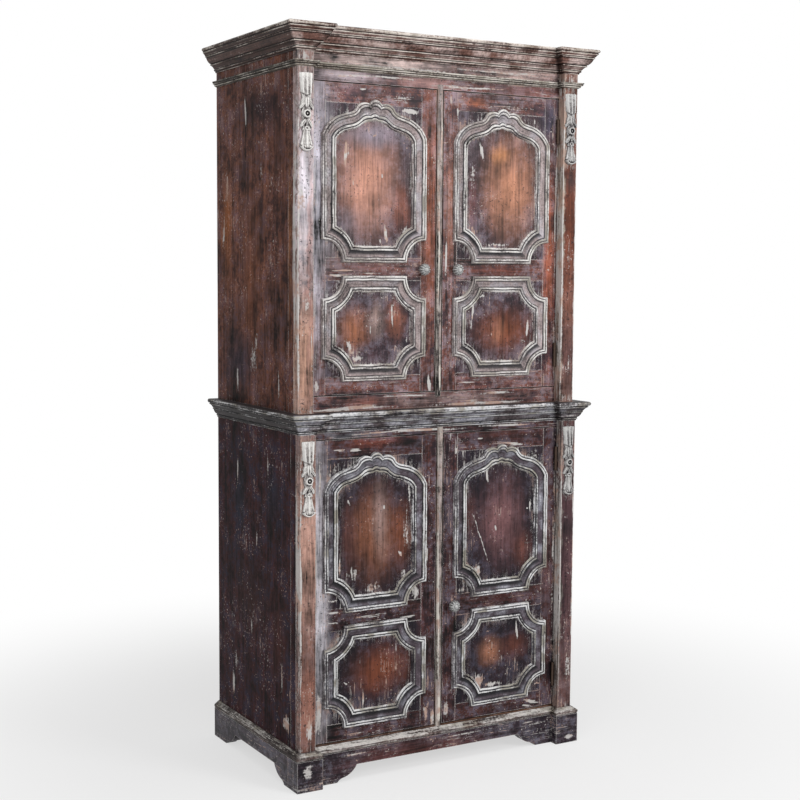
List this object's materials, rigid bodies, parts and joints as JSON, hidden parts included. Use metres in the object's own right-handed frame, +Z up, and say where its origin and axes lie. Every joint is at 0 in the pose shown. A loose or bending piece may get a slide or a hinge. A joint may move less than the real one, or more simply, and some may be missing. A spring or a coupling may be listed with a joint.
{
  "type": "trastero cabinet",
  "caption": "Tall two-stage wooden cupboard with framed doors under shaped panel mouldings, carved drops on the pilasters, a stepped cornice and bracket feet",
  "frame": {"origin": "on the floor, under the middle of the bounding box", "axes": "X to the right and Y to the back as the doors are seen from in front, Z up; the doors are on the -Y side"},
  "size_m": [1.07, 0.636, 2.2],
  "materials": {
    "case_wood": "dark worn mahogany, satin",
    "door_wood": "dark worn mahogany, satin",
    "panel_wood": "red-brown worn mahogany, satin",
    "moulding_wood": "dark wood with chalky wear",
    "bead_wood": "rubbed pale wood",
    "carving_wood": "carved wood with chalky wear",
    "inner_wood": "plain oiled wood",
    "knob_metal": "grey worn metal",
    "hinge_iron": "dark iron"
  },
  "bodies": {
    "carcase": {"plinth_front": "case_wood", "plinth_side_left": "case_wood", "plinth_side_right": "case_wood", "plinth_back": "inner_wood", "foot_blocks": "case_wood", "base_moulding": "moulding_wood", "waist_moulding": "moulding_wood", "necking_moulding": "moulding_wood", "cornice": "moulding_wood", "lower_bottom_board": "inner_wood", "waist_board": "case_wood", "upper_top_board": "case_wood", "lower_posts": "case_wood", "upper_posts": "case_wood", "lower_pilasters": "case_wood", "upper_pilasters": "case_wood", "lower_side_left": "case_wood", "lower_side_right": "case_wood", "upper_side_left": "case_wood", "upper_side_right": "case_wood", "lower_back_planks": "inner_wood", "upper_back_planks": "inner_wood", "lower_shelf": "inner_wood", "upper_shelves": "inner_wood", "shelf_cleats": "inner_wood", "lower_top_rail": "case_wood", "upper_top_rail": "case_wood", "upper_bottom_rail": "case_wood", "lower_centre_post": "case_wood", "upper_centre_post": "case_wood", "lower_centre_bead": "bead_wood", "upper_centre_bead": "bead_wood", "lower_carvings": "carving_wood", "upper_carvings": "carving_wood", "lower_fixed_hinge_leaves": "hinge_iron", "upper_fixed_hinge_leaves": "hinge_iron"},
    "upper_left_door": {"upper_left_door_stiles": "door_wood", "upper_left_door_rails": "door_wood", "upper_left_door_panels": "panel_wood", "upper_left_door_mouldings": "moulding_wood", "upper_left_door_hinge_leaves": "hinge_iron", "upper_left_door_knob": "knob_metal"},
    "upper_right_door": {"upper_right_door_stiles": "door_wood", "upper_right_door_rails": "door_wood", "upper_right_door_panels": "panel_wood", "upper_right_door_mouldings": "moulding_wood", "upper_right_door_hinge_leaves": "hinge_iron", "upper_right_door_knob": "knob_metal"},
    "lower_left_door": {"lower_left_door_stiles": "door_wood", "lower_left_door_rails": "door_wood", "lower_left_door_panels": "panel_wood", "lower_left_door_mouldings": "moulding_wood", "lower_left_door_hinge_leaves": "hinge_iron"},
    "lower_right_door": {"lower_right_door_stiles": "door_wood", "lower_right_door_rails": "door_wood", "lower_right_door_panels": "panel_wood", "lower_right_door_mouldings": "moulding_wood", "lower_right_door_hinge_leaves": "hinge_iron", "lower_right_door_knob": "knob_metal"}
  },
  "joints": [
    {"name": "upper_left_door_hinge", "type": "hinge", "parent": "carcase", "child": "upper_left_door", "pos_m": [-0.4295, -0.2428, 1.6], "axis": [0, 0, -1], "range_deg": [0, 90]},
    {"name": "upper_right_door_hinge", "type": "hinge", "parent": "carcase", "child": "upper_right_door", "pos_m": [0.4295, -0.2428, 1.6], "axis": [0, 0, 1], "range_deg": [0, 90]},
    {"name": "lower_left_door_hinge", "type": "hinge", "parent": "carcase", "child": "lower_left_door", "pos_m": [-0.4295, -0.2588, 0.571], "axis": [0, 0, -1], "range_deg": [0, 90]},
    {"name": "lower_right_door_hinge", "type": "hinge", "parent": "carcase", "child": "lower_right_door", "pos_m": [0.4295, -0.2588, 0.571], "axis": [0, 0, 1], "range_deg": [0, 90]}
  ]
}
